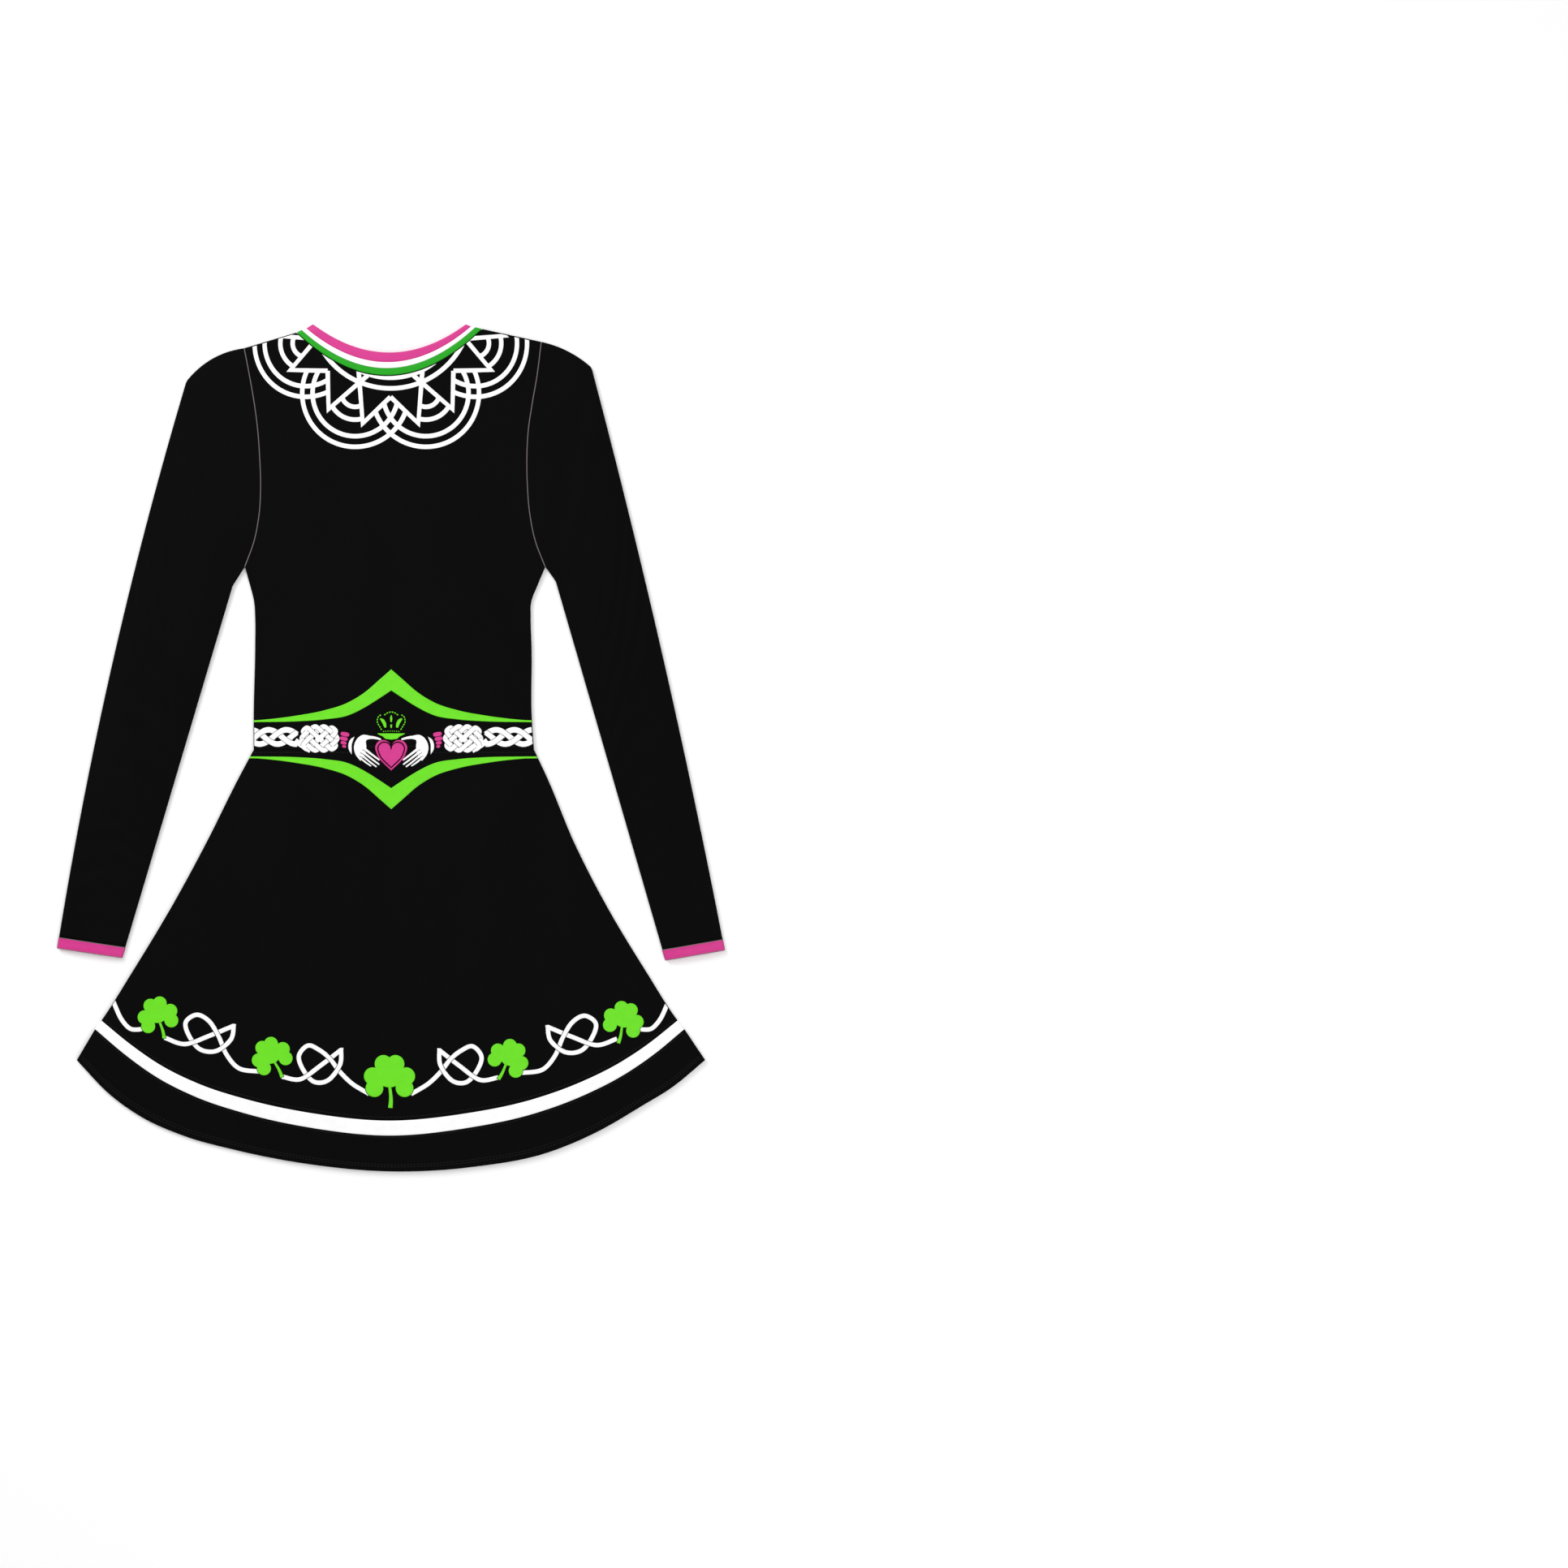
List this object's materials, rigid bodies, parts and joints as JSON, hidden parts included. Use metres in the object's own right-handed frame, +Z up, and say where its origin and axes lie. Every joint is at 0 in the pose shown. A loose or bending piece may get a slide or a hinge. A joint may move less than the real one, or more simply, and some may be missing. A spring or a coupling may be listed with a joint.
{
  "type": "irish dance dress",
  "caption": "Long-sleeved dance dress laid flat, front up: black bodice and flared skirt, coloured neck bands, white knotwork collar, clasped-hands belt and a shamrock vine above the hem.",
  "frame": {"origin": "centre of the dress's box in plan, on the surface that it lies on", "axes": "+X to the wearer's left, +Y from the hem to the neck, +Z up out of the front"},
  "size_m": [0.6906, 0.8762, 0.0075],
  "materials": {
    "black_cloth": "matt stretch velvet",
    "white_satin": "satin",
    "pink_satin": "satin",
    "green_satin": "satin",
    "lime_satin": "satin",
    "zip_tape": "woven tape",
    "zip_coil": "moulded coil",
    "zip_metal": "enamelled"
  },
  "bodies": {
    "root": {"bodice_front": "black_cloth", "bodice_back": "black_cloth", "neck_pink_front": "pink_satin", "neck_pink_back_right": "pink_satin", "neck_pink_back_left": "pink_satin", "neck_white_front": "white_satin", "neck_white_back_right": "white_satin", "neck_white_back_left": "white_satin", "neck_green_front": "green_satin", "neck_green_back_right": "green_satin", "neck_green_back_left": "green_satin", "skirt_front": "black_cloth", "skirt_back": "black_cloth", "hem_stripe_front": "white_satin", "hem_stripe_back": "white_satin", "hem_border_front": "black_cloth", "hem_border_back": "black_cloth", "sleeve_right": "black_cloth", "sleeve_left": "black_cloth", "cuff_right": "pink_satin", "cuff_left": "pink_satin", "belt_upper_front": "lime_satin", "belt_lower_front": "lime_satin", "collar_knot_front": "white_satin", "belt_braid_right": "white_satin", "belt_braid_left": "white_satin", "belt_heart": "pink_satin", "belt_crown": "lime_satin", "belt_hand_right": "white_satin", "belt_hand_left": "white_satin", "belt_hand_cuff_right": "pink_satin", "belt_hand_cuff_left": "pink_satin", "shamrock_1": "lime_satin", "shamrock_2": "lime_satin", "shamrock_3": "lime_satin", "shamrock_4": "lime_satin", "shamrock_5": "lime_satin", "vine_knot_1": "white_satin", "vine_knot_2": "white_satin", "vine_knot_3": "white_satin", "vine_knot_4": "white_satin", "vine_end_right": "white_satin", "vine_end_left": "white_satin", "zip_tape_right": "zip_tape", "zip_tape_left": "zip_tape", "zip_coil": "zip_coil", "zip_slider": "zip_metal"},
    "zip_pull": {"zip_pull": "zip_metal"}
  },
  "joints": [
    {"name": "zip_pull_swing", "type": "hinge", "parent": "root", "child": "zip_pull", "pos_m": [0, 0.3995, 0.00055], "axis": [1, 0, 0], "range_deg": [0, 180]}
  ]
}
